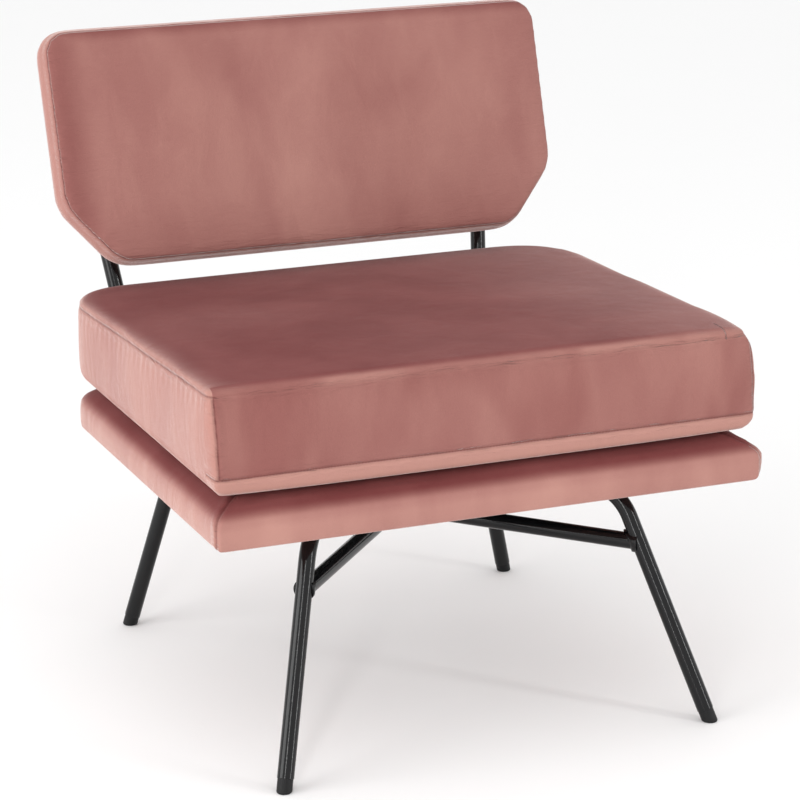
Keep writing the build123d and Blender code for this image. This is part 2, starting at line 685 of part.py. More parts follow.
# Seat cushion: foam core in a boxed cover of separate panels
def cushion_block(inset):
    """The cushion's shape: its outline from above met by its side profile."""
    with BuildPart() as block:
        with BuildSketch(Plane.XY.offset(CUSHION_BOTTOM)):
            plan(
                CUSHION_HALF,
                CUSHION_FRONT,
                CUSHION_BACK,
                CUSHION_FRONT_RADIUS - inset,
                CUSHION_REAR_RADIUS - inset,
                inset,
            )
        extrude(amount=CUSHION_TOP_FRONT - CUSHION_BOTTOM)
        with BuildSketch(Plane.YZ):
            with BuildLine():
                FilletPolyline(
                    (CUSHION_FRONT, CUSHION_BOTTOM),
                    (CUSHION_BACK, CUSHION_BOTTOM),
                    (CUSHION_BACK, CUSHION_TOP_BACK),
                    (CUSHION_FRONT_TOP, CUSHION_TOP_FRONT),
                    (CUSHION_FRONT, LOWER_SEAM),
                    radius=[
                        CUSHION_BOTTOM_ROUND / 2,
                        CUSHION_BOTTOM_ROUND,
                        CUSHION_TOP_ROUND,
                        CUSHION_TOP_ROUND,
                        CUSHION_BOTTOM_ROUND / 2,
                    ],
                    close=True,
                )
            make_face()
            if inset > 0:
                offset(amount=-inset)
        extrude(amount=CHAIR_CUT, both=True, mode=Mode.INTERSECT)
    return block.part


CUSHION_SHAPE = cushion_block(0.0)
CUSHION_HOLLOW = cushion_block(CLOTH)
REACH = 60.0
SIDE_SPLIT = CUSHION_HALF - 62.0
FRONT_LINE = CUSHION_FRONT - REACH
REAR_LINE = CUSHION_BACK + REACH
REAR_ZONE = CUSHION_BACK - REACH / 2


def top_seam(across_depth):
    """The height of the upper seam, which runs parallel to the sloping top."""
    slope = (CUSHION_TOP_BACK - CUSHION_TOP_FRONT) / (CUSHION_BACK - CUSHION_FRONT_TOP)
    return CUSHION_TOP_FRONT - TOP_SEAM_DROP + slope * (across_depth - CUSHION_FRONT_TOP)


def cushion_panel(side_zone, plan_zone=None):
    """The part of the cushion's cover inside a side-view zone and, if given, a zone seen from above."""
    with BuildPart() as panel:
        add(CUSHION_SHAPE)
        add(CUSHION_HOLLOW, mode=Mode.SUBTRACT)
        with BuildSketch(Plane.YZ):
            with BuildLine():
                Polyline(*side_zone, close=True)
            make_face()
        extrude(amount=CHAIR_CUT, both=True, mode=Mode.INTERSECT)
        if plan_zone:
            with BuildSketch(Plane.XY.offset(CUSHION_BOTTOM - REACH)):
                with BuildLine():
                    Polyline(*plan_zone, close=True)
                make_face()
            extrude(amount=CHAIR_CUT, mode=Mode.INTERSECT)
    return panel


CEILING = CUSHION_TOP_FRONT + REACH
CELLAR = CUSHION_BOTTOM - REACH
TOP_ZONE = [
    (FRONT_LINE, top_seam(FRONT_LINE)),
    (REAR_LINE, top_seam(REAR_LINE)),
    (REAR_LINE, CEILING),
    (FRONT_LINE, CEILING),
]
BOTTOM_ZONE = [
    (FRONT_LINE, CELLAR),
    (REAR_LINE, CELLAR),
    (REAR_LINE, LOWER_SEAM),
    (FRONT_LINE, LOWER_SEAM),
]

# The side panels turn the front corners, and their seams run up the front just inside them
BOXING_ZONE = [
    (FRONT_LINE, LOWER_SEAM),
    (REAR_LINE, LOWER_SEAM),
    (REAR_LINE, top_seam(REAR_LINE)),
    (FRONT_LINE, top_seam(FRONT_LINE)),
]
FRONT_SPLIT = CUSHION_HALF - CORNER_WRAP
FRONT_PLAN = [
    (-FRONT_SPLIT, FRONT_LINE),
    (FRONT_SPLIT, FRONT_LINE),
    (FRONT_SPLIT, 0.0),
    (-FRONT_SPLIT, 0.0),
]
LEFT_PLAN = [
    (-CUSHION_HALF - REACH, FRONT_LINE),
    (-FRONT_SPLIT, FRONT_LINE),
    (-FRONT_SPLIT, 0.0),
    (-SIDE_SPLIT, 0.0),
    (-SIDE_SPLIT, REAR_LINE),
    (-CUSHION_HALF - REACH, REAR_LINE),
]
RIGHT_PLAN = [(-across, deep) for across, deep in LEFT_PLAN]
BACK_PLAN = [
    (-SIDE_SPLIT, REAR_ZONE),
    (SIDE_SPLIT, REAR_ZONE),
    (SIDE_SPLIT, REAR_LINE),
    (-SIDE_SPLIT, REAR_LINE),
]
TAPE_LOW = ZIP_HEIGHT - TAPE_HALF
TAPE_HIGH = ZIP_HEIGHT + TAPE_HALF
BACK_LOWER_ZONE = [
    (REAR_ZONE, LOWER_SEAM),
    (REAR_LINE, LOWER_SEAM),
    (REAR_LINE, TAPE_LOW),
    (REAR_ZONE, TAPE_LOW),
]
BACK_UPPER_ZONE = [
    (REAR_ZONE, TAPE_HIGH),
    (REAR_LINE, TAPE_HIGH),
    (REAR_LINE, top_seam(REAR_LINE)),
    (REAR_ZONE, top_seam(REAR_ZONE)),
]
TAPE_ZONE = [
    (REAR_ZONE, TAPE_LOW),
    (REAR_LINE, TAPE_LOW),
    (REAR_LINE, TAPE_HIGH),
    (REAR_ZONE, TAPE_HIGH),
]

cushion_top = cushion_panel(TOP_ZONE)
cushion_bottom = cushion_panel(BOTTOM_ZONE)
cushion_front = cushion_panel(BOXING_ZONE, FRONT_PLAN)
cushion_left = cushion_panel(BOXING_ZONE, LEFT_PLAN)
cushion_right = cushion_panel(BOXING_ZONE, RIGHT_PLAN)
cushion_back_lower = cushion_panel(BACK_LOWER_ZONE, BACK_PLAN)
cushion_back_upper = cushion_panel(BACK_UPPER_ZONE, BACK_PLAN)
zip_tape = cushion_panel(TAPE_ZONE, BACK_PLAN)

with BuildPart() as cushion_foam:
    add(cushion_block(CLOTH + CLOTH_GAP))

# Zip on the cushion's back: coil, slider and pull. Its plane looks backwards, with x to the left.
ZIP_PLANE = Plane(origin=(0, CUSHION_BACK, ZIP_HEIGHT), x_dir=(-1, 0, 0), z_dir=(0, 1, 0))
SLIDER_PLANE = Plane(origin=(SLIDER_X, CUSHION_BACK, ZIP_HEIGHT), x_dir=(-1, 0, 0), z_dir=(0, 1, 0))
HOOD_TOP = ZIP_GAP + SLIDER_HIGH
CHANNEL_TOP = COIL_HIGH + ZIP_GAP
BRIDGE_TOP = HOOD_TOP + BRIDGE_HIGH
BRIDGE_INSIDE = BRIDGE_TOP - BRIDGE_BAR
EYE_HEIGHT = (HOOD_TOP + BRIDGE_INSIDE) / 2

with BuildPart() as zip_coil:
    with BuildSketch(ZIP_PLANE):
        Rectangle(2 * ZIP_HALF, 2 * COIL_HALF)
    extrude(amount=COIL_HIGH)
    chamfer(zip_coil.faces().sort_by(Axis.Y)[-1].edges(), length=COIL_HIGH / 3)

with BuildPart() as zip_slider:
    with BuildSketch(SLIDER_PLANE.offset(ZIP_GAP)):
        RectangleRounded(SLIDER_LONG, SLIDER_WIDE, SLIDER_WIDE / 4)
    extrude(amount=SLIDER_HIGH)
    with BuildSketch(SLIDER_PLANE.offset(ZIP_GAP)):
        Rectangle(2 * SLIDER_LONG, 2 * (COIL_HALF + ZIP_GAP))
    extrude(amount=CHANNEL_TOP - ZIP_GAP, mode=Mode.SUBTRACT)
    with BuildSketch(SLIDER_PLANE.offset(HOOD_TOP)):
        Rectangle(BRIDGE_LONG, BRIDGE_WIDE)
    extrude(amount=BRIDGE_HIGH)
    with BuildSketch(SLIDER_PLANE.offset(HOOD_TOP)):
        Rectangle(BRIDGE_LONG - 2 * BRIDGE_BAR, 2 * BRIDGE_WIDE)
    extrude(amount=BRIDGE_HIGH - BRIDGE_BAR, mode=Mode.SUBTRACT)

# The pull lies flat along the zip, with a round eye bar through the bridge
EYE_DEPTH = CUSHION_BACK + EYE_HEIGHT
EYE_LOW = (SLIDER_X, EYE_DEPTH, ZIP_HEIGHT - PULL_WIDE / 2)
EYE_HIGH = (SLIDER_X, EYE_DEPTH, ZIP_HEIGHT + PULL_WIDE / 2)
with BuildPart() as zip_pull:
    with BuildSketch(SLIDER_PLANE.offset(EYE_HEIGHT - PULL_THICK / 2)):
        with Locations((-PULL_LONG / 2, 0)):
            Rectangle(PULL_LONG, PULL_WIDE)
        with Locations((-PULL_EYE / 2, 0)):
            Rectangle(PULL_EYE, BRIDGE_WIDE + 4 * ZIP_GAP, mode=Mode.SUBTRACT)
        with Locations((PULL_WIDE / 2 - PULL_LONG, 0)):
            Circle(PULL_HOLE, mode=Mode.SUBTRACT)
    extrude(amount=PULL_THICK)
    fillet(zip_pull.edges().filter_by(Axis.Y).sort_by(Axis.X)[-2:], radius=PULL_CORNER)
    solid_rod(EYE_LOW, EYE_HIGH, PULL_THICK / 2)

PIECES = {
    "leg_front_left": leg_front_left,
    "leg_front_right": leg_front_right,
    "leg_back_left": leg_back_left,
    "leg_back_right": leg_back_right,
    "glide_front_left": glide_front_left,
    "glide_front_right": glide_front_right,
    "glide_back_left": glide_back_left,
    "glide_back_right": glide_back_right,
    "brace_long": brace_long,
    "brace_front_half": brace_front_half,
    "brace_back_half": brace_back_half,
    "brace_welds": brace_welds,
    "post_left": post_left,
    "post_right": post_right,
    "post_cap_left": post_cap_left,
    "post_cap_right": post_cap_right,
    "arm_plugs": arm_plugs,
    "plate_front_left": plate_front_left,
    "plate_front_right": plate_front_right,
    "plate_back_left": plate_back_left,
    "plate_back_right": plate_back_right,
    "plate_post_left": plate_post_left,
    "plate_post_right": plate_post_right,
    "deck_bolts": deck_bolts,
    "deck_washers": deck_washers,
    "deck_tee_nuts": deck_tee_nuts,
    "deck_board": deck_board,
    "deck_foam": deck_foam,
    "deck_cover": deck_cover,
    "dust_cloth": dust_cloth,
    "staples": staples,
    "back_board": back_board,
    "back_foam": back_foam,
    "back_wadding": back_wadding,
    "back_front_panel": back_front_panel,
    "back_boxing": back_boxing,
    "back_rear_panel": back_rear_panel,
    "back_spacers": back_spacers,
    "back_washers": back_washers,
    "back_bolts": back_bolts,
    "back_tee_nuts": back_tee_nuts,
    "cushion_foam": cushion_foam,
    "cushion_top": cushion_top,
    "cushion_front": cushion_front,
    "cushion_left": cushion_left,
    "cushion_right": cushion_right,
    "cushion_back_lower": cushion_back_lower,
    "cushion_back_upper": cushion_back_upper,
    "cushion_bottom": cushion_bottom,
    "zip_tape": zip_tape,
    "zip_coil": zip_coil,
    "zip_slider": zip_slider,
    "zip_pull": zip_pull,
}

for label, piece in PIECES.items():
    piece.part.label = label
    export_step(piece.part, f"parts/{label}.step")
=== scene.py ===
import json
import math

import bmesh
import bpy
from mathutils import Matrix, Vector


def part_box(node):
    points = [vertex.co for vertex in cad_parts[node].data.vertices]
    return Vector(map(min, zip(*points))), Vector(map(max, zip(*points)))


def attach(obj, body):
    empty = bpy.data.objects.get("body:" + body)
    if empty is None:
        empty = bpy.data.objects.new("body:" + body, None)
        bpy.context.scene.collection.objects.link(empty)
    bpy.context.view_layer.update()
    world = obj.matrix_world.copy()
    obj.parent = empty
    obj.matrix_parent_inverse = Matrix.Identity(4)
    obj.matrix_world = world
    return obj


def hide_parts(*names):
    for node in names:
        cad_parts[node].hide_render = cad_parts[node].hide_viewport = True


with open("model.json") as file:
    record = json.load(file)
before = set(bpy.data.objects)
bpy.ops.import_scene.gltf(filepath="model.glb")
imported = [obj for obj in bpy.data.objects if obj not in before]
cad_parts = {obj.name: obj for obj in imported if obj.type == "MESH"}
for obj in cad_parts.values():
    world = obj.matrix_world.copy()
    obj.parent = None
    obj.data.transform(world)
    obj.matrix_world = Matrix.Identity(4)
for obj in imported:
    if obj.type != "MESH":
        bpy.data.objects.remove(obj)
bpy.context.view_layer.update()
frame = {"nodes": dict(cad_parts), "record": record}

SCENE = bpy.context.scene

# ---- Sizes of the padded pieces, in metres, beside what the frame's own nodes give
RECLINE = math.radians(18.8)
BACK_FRONT_UP = Vector((0, math.sin(RECLINE), math.cos(RECLINE)))
BACK_FORWARD = Vector((0, -math.cos(RECLINE), math.sin(RECLINE)))
BACK_FOOT = Vector((0, 0.199, 0.470))
BACK_CORNERS = [(0.258, 0.0, 0.038), (0.3185, 0.072, 0.040), (0.320, 0.280, 0.028)]
BACK_BOXING = 0.043
BACK_DEPTH = 0.052
# Remeshing rounds an outline off by about this much, so the backrest starts this much lower at its
# foot and half as much wider at each side
ROUNDED_OFF = 0.0022
BACK_REAR_ROUND = 0.005
BACK_CROWN = 0.0035
BACK_REAR_CROWN = 0.0030
BACK_SIDE_BELLY = 0.0036
BACK_VOXEL = 0.0058

SEAT_LOW, SEAT_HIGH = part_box("cushion_bottom")[0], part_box("cushion_top")[1]
SEAT_HALF = SEAT_HIGH.x
SEAT_FRONT = SEAT_LOW.y
SEAT_FRONT_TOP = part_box("cushion_top")[0].y
SEAT_BACK = SEAT_HIGH.y
SEAT_BOTTOM = SEAT_LOW.z
SEAT_TOP_FRONT = SEAT_HIGH.z
SEAT_TOP_BACK = 0.432
SEAT_LOWER_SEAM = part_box("cushion_bottom")[1].z
SEAT_SEAM_DROP = 0.008
SEAT_WRAP = 0.006
SEAT_FRONT_ZONE = 0.030
SEAT_CORNER_RADIUS = 0.007
SEAT_TOP_ROUND = 0.006
SEAT_KEEL_ROUND = 0.016
SEAT_CROWN = 0.0050
SEAT_WAIST = 0.0020
SEAT_OVERHANG_SAG = 0.0030
SEAT_VOXEL = 0.0062
# How far the cushion's two sides swell out: it sits a little to the right
SEAT_LEFT_OUT = 0.0010
SEAT_RIGHT_OUT = 0.0080
SEAT_REAR_RADIUS = 0.080
TAPE_LOW, TAPE_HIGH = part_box("zip_tape")
TAPE_ROOM = 0.002
TAPE_ZONE = 0.020

DECK_LOW, DECK_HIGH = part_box("deck_cover")
DECK_HALF = DECK_HIGH.x
DECK_FRONT = DECK_LOW.y
DECK_BACK = DECK_HIGH.y
DECK_BOTTOM = DECK_LOW.z
DECK_TOP = DECK_HIGH.z
DECK_EDGE_TOP = DECK_BOTTOM + 0.034
DECK_SLOPE_IN = 0.058
DECK_SIDE_ROUND = 0.018
# How far the platform's sides are shifted to the right
DECK_SHIFT = 0.0030
DECK_CORNER_RADIUS = 0.010
DECK_REAR_RADIUS = 0.055
DECK_KEEL_ROUND = 0.006
DECK_VOXEL = 0.0058
CREASE_WIDTH = 0.0030

DUST_REAR_RADIUS = 0.041
DUST_THICKNESS = 0.0004
DUST_SAG = 0.0035

TOOTH_PITCH = 0.0016
TOOTH_CHAMFER = 0.00022

FLOOR_SIZE = 40.0
CAMERA_PLACE = (-1.3766, -3.3291, 1.4038)
CAMERA_YAW = math.radians(22.76)
CAMERA_PITCH = math.radians(16.74)
CAMERA_LENS = 142.5
CAMERA_SENSOR = 36.0


# ---- Shader maths: a socket that adds Math nodes when it is used in an expression
class Wire:
    def __init__(self, finish, socket):
        self.finish = finish
        self.socket = socket

    def maths(self, operation, *values):
        node = self.finish.node("ShaderNodeMath", {"operation": operation}, *values)
        return Wire(self.finish, node.outputs[0])

    def __add__(self, other):
        return self.maths("ADD", self, other)

    __radd__ = __add__

    def __sub__(self, other):
        return self.maths("SUBTRACT", self, other)

    def __rsub__(self, other):
        return self.maths("SUBTRACT", other, self)

    def __mul__(self, other):
        return self.maths("MULTIPLY", self, other)

    __rmul__ = __mul__

    def __neg__(self):
        return self.maths("MULTIPLY", self, -1.0)

    def __abs__(self):
        return self.maths("ABSOLUTE", self)

    def below(self, limit):
        return self.maths("LESS_THAN", self, limit)

    def above(self, limit):
        return self.maths("GREATER_THAN", self, limit)

    def wave(self):
        return self.maths("SINE", self)

    def line(self, width):
        """1 on the line where this distance is 0, falling smoothly to 0 at the width."""
        node = self.finish.node(
            "ShaderNodeMapRange",
            {"interpolation_type": "SMOOTHSTEP"},
            abs(self),
            From_Min=0.0,
            From_Max=width,
            To_Min=1.0,
            To_Max=0.0,
        )
        return Wire(self.finish, node.outputs[0])

    def ease(self, low, high):
        """0 below the low value, 1 above the high one."""
        node = self.finish.node(
            "ShaderNodeMapRange",
            {"interpolation_type": "SMOOTHSTEP"},
            self,
            From_Min=low,
            From_Max=high,
        )
        return Wire(self.finish, node.outputs[0])


class Finish:
    """One material: its node tree and the calls that add to it."""

    def __init__(self, name):
        self.material = bpy.data.materials.new(name)
        self.material.use_nodes = True
        self.tree = self.material.node_tree
        self.shader = self.tree.nodes["Principled BSDF"]
        place = self.node("ShaderNodeTexCoord")
        self.place = Wire(self, place.outputs["Object"])

    def node(self, kind, settings=None, *values, **named):
        node = self.tree.nodes.new(kind)
        for key, value in (settings or {}).items():
            setattr(node, key, value)
        pairs = list(zip(node.inputs, values))
        pairs += [(node.inputs[key.replace("_", " ")], value) for key, value in named.items()]
        for socket, value in pairs:
            self.feed(socket, value)
        return node

    def feed(self, socket, value):
        if isinstance(value, Wire):
            self.tree.links.new(value.socket, socket)
        else:
            socket.default_value = value

    def wire(self, kind, settings=None, *values, out=0, **named):
        return Wire(self, self.node(kind, settings, *values, **named).outputs[out])

    def axes(self):
        node = self.node("ShaderNodeSeparateXYZ", None, self.place)
        return [Wire(self, socket) for socket in node.outputs]

    def stretched(self, scale):
        return self.wire("ShaderNodeMapping", None, self.place, Scale=scale)

    def noise(self, size, detail=2.0, roughness=0.5, place=None, distortion=0.0):
        return self.wire(
            "ShaderNodeTexNoise",
            None,
            Vector=place or self.place,
            Scale=1.0 / size,
            Detail=detail,
            Roughness=roughness,
            Distortion=distortion,
        )

    def blend(self, share, first, second, mode="MIX"):
        node = self.node("ShaderNodeMix", {"data_type": "RGBA", "blend_type": mode})
        self.feed(node.inputs["Factor"], share)
        self.feed(node.inputs[6], first)
        self.feed(node.inputs[7], second)
        return Wire(self, node.outputs[2])

    def relief(self, height, depth, under=None):
        node = self.node("ShaderNodeBump", None, Height=height, Distance=depth)
        if under is not None:
            self.feed(node.inputs["Normal"], under)
        return Wire(self, node.outputs[0])

    def set(self, **named):
        for key, value in named.items():
            self.feed(self.shader.inputs[key.replace("_", " ")], value)
        return self


# ---- Finishes
# The paler pile colour is partly random paler patches and partly painted light; the darker pile colours are
# painted shade, and the seam colour is painted shade in the seam folds
PILE = (0.310, 0.132, 0.117, 1.0)
PILE_PALE_AND_LIT = (0.440, 0.225, 0.188, 1.0)
PILE_SHADED = (0.140, 0.031, 0.031, 1.0)
PILE_SHADE = (0.205, 0.060, 0.058, 1.0)
SEAM_SHADE = (0.110, 0.028, 0.026, 1.0)
STITCH_LENGTH = 0.0036
PLY_THICKNESS = 0.0036
WARP_PITCH = 0.0010
WEFT_PITCH = 0.0008
COIL_PITCH = 0.0013


def velvet(name, seams, shade_and_lay, pale, sheen):
    """Short-pile velvet: brushed patches, fine fibre and drawn-in seams with a row of stitches.

    seams gives the distance to the nearest seam, a length along it and how dark its painted shade
    shows. The second function gives the share, 0 to 1, of a darker copy of the velvet without sheen:
    painted shade, with a random lay of the pile mixed in. The third gives the share of pile painted
    lighter where it faces the light.
    """
    cloth = Finish(name)
    x, y, z = cloth.axes()
    seam, along, depth = seams(cloth, x, y, z)
    away = shade_and_lay(cloth, x, y, z)
    patches = cloth.noise(0.17, 2.0, 0.45, cloth.stretched((1.0, 1.0, 0.5)), 0.7).ease(0.32, 0.70)
    brushed = cloth.noise(0.040, 3.0, 0.6, cloth.stretched((1.0, 1.0, 0.35)), 0.4).ease(0.30, 0.75)
    fibre = cloth.noise(0.0011, 2.0, 0.7)
    # Random patches of the pile, plus painted light where the pile faces the light
    nap_and_painted_light = 0.50 * patches + 0.22 * brushed + 0.28 * fibre + pale(cloth, x, y, z)
    stitch = (along * (2 * math.pi / STITCH_LENGTH)).wave().ease(-0.2, 0.6)
    # Painted shade along the seam folds, with the row of stitches along the seam
    seam_shade_and_stitches = (seam.line(0.0014) * (0.65 + 0.35 * stitch) + 0.35 * seam.line(0.0045)) * depth
    ruffle = cloth.noise(0.0055, 2.0, 0.6, cloth.stretched((0.16, 0.16, 1.0)), 0.5)
    weave = cloth.relief(fibre, 0.0005)
    brush = cloth.relief(brushed, 0.0006, weave)
    gathered = cloth.relief(ruffle * seam.line(0.012), 0.0034, brush)
    drawn = cloth.relief(-seam.line(0.0030), 0.0012, gathered)
    # The first colour carries painted light; the second is painted shade for the darker copy
    lit_colour = cloth.blend(seam_shade_and_stitches, cloth.blend(nap_and_painted_light, PILE, PILE_PALE_AND_LIT), SEAM_SHADE)
    shaded_colour = cloth.blend(seam_shade_and_stitches, cloth.blend(nap_and_painted_light, PILE_SHADED, PILE_SHADE), SEAM_SHADE)
    cloth.set(Base_Color=lit_colour, Normal=drawn, Roughness=0.72 + 0.15 * fibre)
    cloth.set(Sheen_Weight=sheen, Sheen_Roughness=0.30, Sheen_Tint=(1.0, 0.86, 0.83, 1.0))
    cloth.set(Specular_IOR_Level=0.15)
    # A darker copy of the velvet with little sheen: painted shade, mixed in by the second function's share
    deep = cloth.node(
        "ShaderNodeBsdfPrincipled",
        None,
        Base_Color=shaded_colour,
        Normal=drawn,
        Roughness=0.80 + 0.10 * fibre,
        Sheen_Weight=0.06,
        Sheen_Roughness=0.45,
        Sheen_Tint=(1.0, 0.70, 0.66, 1.0),
        Specular_IOR_Level=0.12,
    )
    mixed = cloth.node("ShaderNodeMixShader")
    cloth.feed(mixed.inputs[0], away)
    cloth.tree.links.new(cloth.shader.outputs[0], mixed.inputs[1])
    cloth.tree.links.new(deep.outputs[0], mixed.inputs[2])
    cloth.tree.links.new(mixed.outputs[0], cloth.tree.nodes["Material Output"].inputs["Surface"])
    return cloth.material


def seat_slope(z, y):
    """The distance above the seat's upper seam."""
    fall = (SEAT_TOP_BACK - SEAT_TOP_FRONT) / (SEAT_BACK - SEAT_FRONT_TOP)
    return z - (SEAT_TOP_FRONT - SEAT_SEAM_DROP) - fall * (y - SEAT_FRONT_TOP)


def seat_corner(x):
    """The distance outside the front's corner seams: the left one is a little way round the corner."""
    return abs(x - SEAT_WRAP / 2) - (SEAT_HALF - SEAT_WRAP / 2)


def seat_front(x, y):
    """1 on the front panel, which stops at the two corner seams."""
    return y.below(SEAT_FRONT + SEAT_FRONT_ZONE) * seat_corner(x).below(0.0)


def seat_seams(cloth, x, y, z):
    upper = seat_slope(z, y)
    front = y.below(SEAT_FRONT + SEAT_FRONT_ZONE)
    lower = abs(z - SEAT_LOWER_SEAM) + (1.0 - front)
    hem = abs(z - (SEAT_BOTTOM + 0.005)) + front
    between = 1.0 - z.above(SEAT_LOWER_SEAM) * upper.below(0.0)
    corner = abs(seat_corner(x)) + (1.0 - front) + between
    others = lower.maths("MINIMUM", lower, corner)
    others = others.maths("MINIMUM", others, hem)
    nearest = others.maths("MINIMUM", others, abs(upper))
    faint = abs(upper).below(0.006) * seat_front(x, y) * others.above(0.004)
    return nearest, x + y, 0.60 - 0.48 * faint


def seat_shade_and_lay(cloth, x, y, z):
    """Painted shade on the top panel, lighter on the right; on the front, pile brushed both ways."""
    top = seat_slope(z, y).ease(SEAT_SEAM_DROP * 0.65, SEAT_SEAM_DROP * 1.25)
    lay = cloth.noise(0.30, 1.0, 0.4, None, 0.5).ease(0.40, 0.85)
    side_lay = cloth.noise(0.15, 2.0, 0.5, cloth.stretched((1.0, 1.0, 0.45)), 1.0).ease(0.45, 0.70)
    right = x.ease(0.05, SEAT_HALF)
    boxing = seat_front(x, y) * z.above(SEAT_LOWER_SEAM)
    left = (-x).ease(0.05, SEAT_HALF)
    front = boxing * (0.30 + 0.30 * side_lay + 0.15 * left)
    middle = x.ease(-0.25, 0.0)
    return top * (1.0 - 0.06 * lay - 0.05 * middle - 0.20 * right) + (1.0 - top) * front


def seat_painted_light(cloth, x, y, z):
    """Painted light on the band under the lower front seam and on the roll over the upper one."""
    front = y.below(SEAT_FRONT + SEAT_FRONT_ZONE)
    band = front * z.below(SEAT_LOWER_SEAM)
    roll = front * (seat_slope(z, y) - 0.003).line(0.008)
    return 0.75 * band + 0.80 * roll


def deck_seams(cloth, x, y, z):
    mitre = (DECK_HALF - abs(x)) - (y - DECK_FRONT)
    near = y.below(DECK_FRONT + DECK_SLOPE_IN + 0.02)
    return abs(mitre) * 0.7071 + (1.0 - near), z * 1.4, 0.45


def deck_shade_and_lay(cloth, x, y, z):
    # Painted shade on the sloping top in the cushion's shadow, with a little random lay of the pile below
    lay = cloth.noise(0.15, 2.0, 0.5, cloth.stretched((1.0, 1.0, 0.45)), 1.0).ease(0.45, 0.72)
    slope = z.ease(DECK_EDGE_TOP - 0.002, DECK_EDGE_TOP + 0.010)
    return slope + (1.0 - slope) * lay * 0.15


def deck_painted_light(cloth, x, y, z):
    # Painted light on the platform's sides below the slope, strongest at the left
    lit = 0.40 - 0.26 * x.ease(0.0, DECK_HALF)
    return lit * (1.0 - z.ease(DECK_EDGE_TOP - 0.014, DECK_EDGE_TOP))


def back_depth(cloth, x, y, z):
    """The distance forwards of the backrest's front seam."""
    return (y - BACK_FOOT.y) * BACK_FORWARD.y + (z - BACK_FOOT.z) * BACK_FORWARD.z


def back_seams(cloth, x, y, z):
    depth = back_depth(cloth, x, y, z)
    front = abs(depth)
    rear = abs(depth + BACK_BOXING)
    return front.maths("MINIMUM", front, rear), x + z, 0.90


def back_shade_and_lay(cloth, x, y, z):
    """Painted shade along the top, the foot and the left seam, with a soft patchy lay between."""
    lay = cloth.noise(0.26, 1.0, 0.4, cloth.stretched((1.0, 1.0, 0.7)), 0.8).ease(0.40, 0.75)
    up = (y - BACK_FOOT.y) * BACK_FRONT_UP.y + (z - BACK_FOOT.z) * BACK_FRONT_UP.z
    crest = up.ease(BACK_CORNERS[2][1] - 0.020, BACK_CORNERS[2][1])
    left = (-x).ease(BACK_CORNERS[2][0] - 0.050, BACK_CORNERS[2][0] - 0.012)
    edge = (crest * 0.55).maths("MAXIMUM", crest * 0.55, left * 0.40)
    front = back_depth(cloth, x, y, z).ease(0.0, 0.004)
    foot = (-up).ease(-0.075, -0.010)
    return front * (0.10 + 0.22 * lay + edge + 0.16 * foot)


def back_painted_light(cloth, x, y, z):
    """Painted light on the sides and the rear of the backrest."""
    return 0.20 * back_depth(cloth, x, y, z).below(0.0)


def painted_steel(name, wear=0.0):
    paint = Finish(name)
    peel = paint.noise(0.0022, 2.0, 0.5)
    cloudy = paint.noise(0.03, 3.0, 0.6)
    dust = paint.noise(0.006, 4.0, 0.7).ease(0.62, 0.85)
    colour = paint.blend(0.5 * cloudy + 0.4 * dust, (0.002, 0.002, 0.0024, 1.0), (0.009, 0.009, 0.010, 1.0))
    paint.set(Base_Color=colour, Roughness=0.08 + 0.04 * cloudy + 0.10 * dust + wear)
    paint.set(Normal=paint.relief(peel, 0.00008), Specular_IOR_Level=0.32)
    return paint.material


def moulded_plastic(name, colour):
    plastic = Finish(name)
    grain = plastic.noise(0.0012, 3.0, 0.6)
    scuff = plastic.noise(0.008, 4.0, 0.7).ease(0.55, 0.8)
    pale = tuple(c * 2.2 + 0.004 for c in colour[:3]) + (1.0,)
    plastic.set(Base_Color=plastic.blend(0.5 * scuff, colour, pale), Roughness=0.42 + 0.2 * scuff)
    plastic.set(Normal=plastic.relief(grain, 0.0005), Specular_IOR_Level=0.25)
    return plastic.material


def plated(name, colour, rough):
    metal = Finish(name)
    cloudy = metal.noise(0.004, 3.0, 0.6)
    scratch = metal.noise(0.0016, 2.0, 0.6, metal.stretched((1.0, 8.0, 1.0)))
    dull = tuple(c * 0.55 for c in colour[:3]) + (1.0,)
    metal.set(Base_Color=metal.blend(cloudy, dull, colour), Roughness=rough + 0.2 * cloudy, Metallic=1.0)
    metal.set(Normal=metal.relief(scratch, 0.0003))
    return metal.material


def plywood(name):
    wood = Finish(name)
    grain = wood.noise(0.012, 4.0, 0.6, wood.stretched((0.12, 1.0, 1.0)), 0.4)
    ply = (wood.axes()[2] * (2 * math.pi / PLY_THICKNESS)).wave().ease(-0.3, 0.3)
    tone = wood.blend(grain, (0.36, 0.23, 0.12, 1.0), (0.62, 0.45, 0.27, 1.0))
    tone = wood.blend(0.35 * ply, tone, (0.28, 0.17, 0.09, 1.0))
    wood.set(Base_Color=tone, Roughness=0.6 + 0.2 * grain, Normal=wood.relief(grain, 0.0006))
    return wood.material


def cut_foam(name):
    foam = Finish(name)
    cells = foam.wire("ShaderNodeTexVoronoi", None, Vector=foam.place, Scale=500.0)
    tone = foam.noise(0.05, 3.0, 0.5)
    foam.set(Base_Color=foam.blend(tone, (0.70, 0.62, 0.42, 1.0), (0.82, 0.77, 0.60, 1.0)))
    foam.set(Normal=foam.relief(cells, 0.0008), Roughness=0.9 + 0.05 * tone)
    return foam.material


